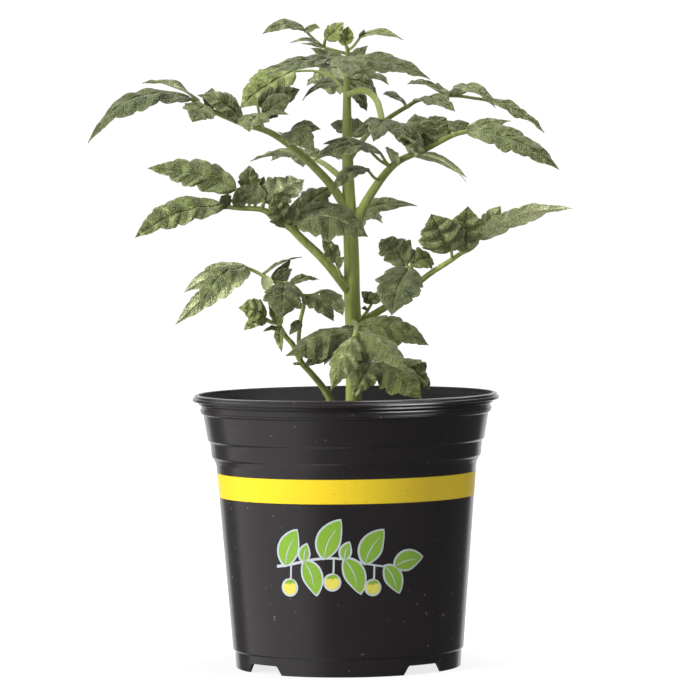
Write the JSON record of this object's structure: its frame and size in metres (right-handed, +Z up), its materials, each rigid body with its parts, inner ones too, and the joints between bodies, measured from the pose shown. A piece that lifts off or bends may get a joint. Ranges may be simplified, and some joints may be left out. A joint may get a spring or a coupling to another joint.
{
  "type": "potted tomato plant",
  "caption": "Young tomato plant with lobed compound leaves on one upright stem, growing in compost in a round, tapered nursery pot.",
  "frame": {"origin": "middle of the pot's underside, on the surface that the pot stands on", "axes": "+Z up along the stem, -Y towards the front that the picture shows, +X to the right of that front"},
  "size_m": [0.26, 0.222, 0.3534],
  "materials": {
    "pot_plastic": "gloss",
    "compost": "matte",
    "stem": "satin",
    "leaf": "matte"
  },
  "bodies": {
    "root": {"pot": "pot_plastic", "soil": "compost", "main_stem": "stem", "side_shoot": "leaf", "frond_low_front": "leaf", "frond_lowest_right": "leaf", "frond_low_back": "leaf", "frond_mid_right": "leaf", "frond_mid_left": "leaf", "frond_back_right": "leaf", "frond_upper_right": "leaf", "frond_upper_left": "leaf", "frond_back_left": "leaf", "frond_top_right": "leaf", "frond_drooping_right": "leaf", "frond_top_front": "leaf", "frond_top_back": "leaf", "growing_tip": "leaf"}
  },
  "joints": []
}
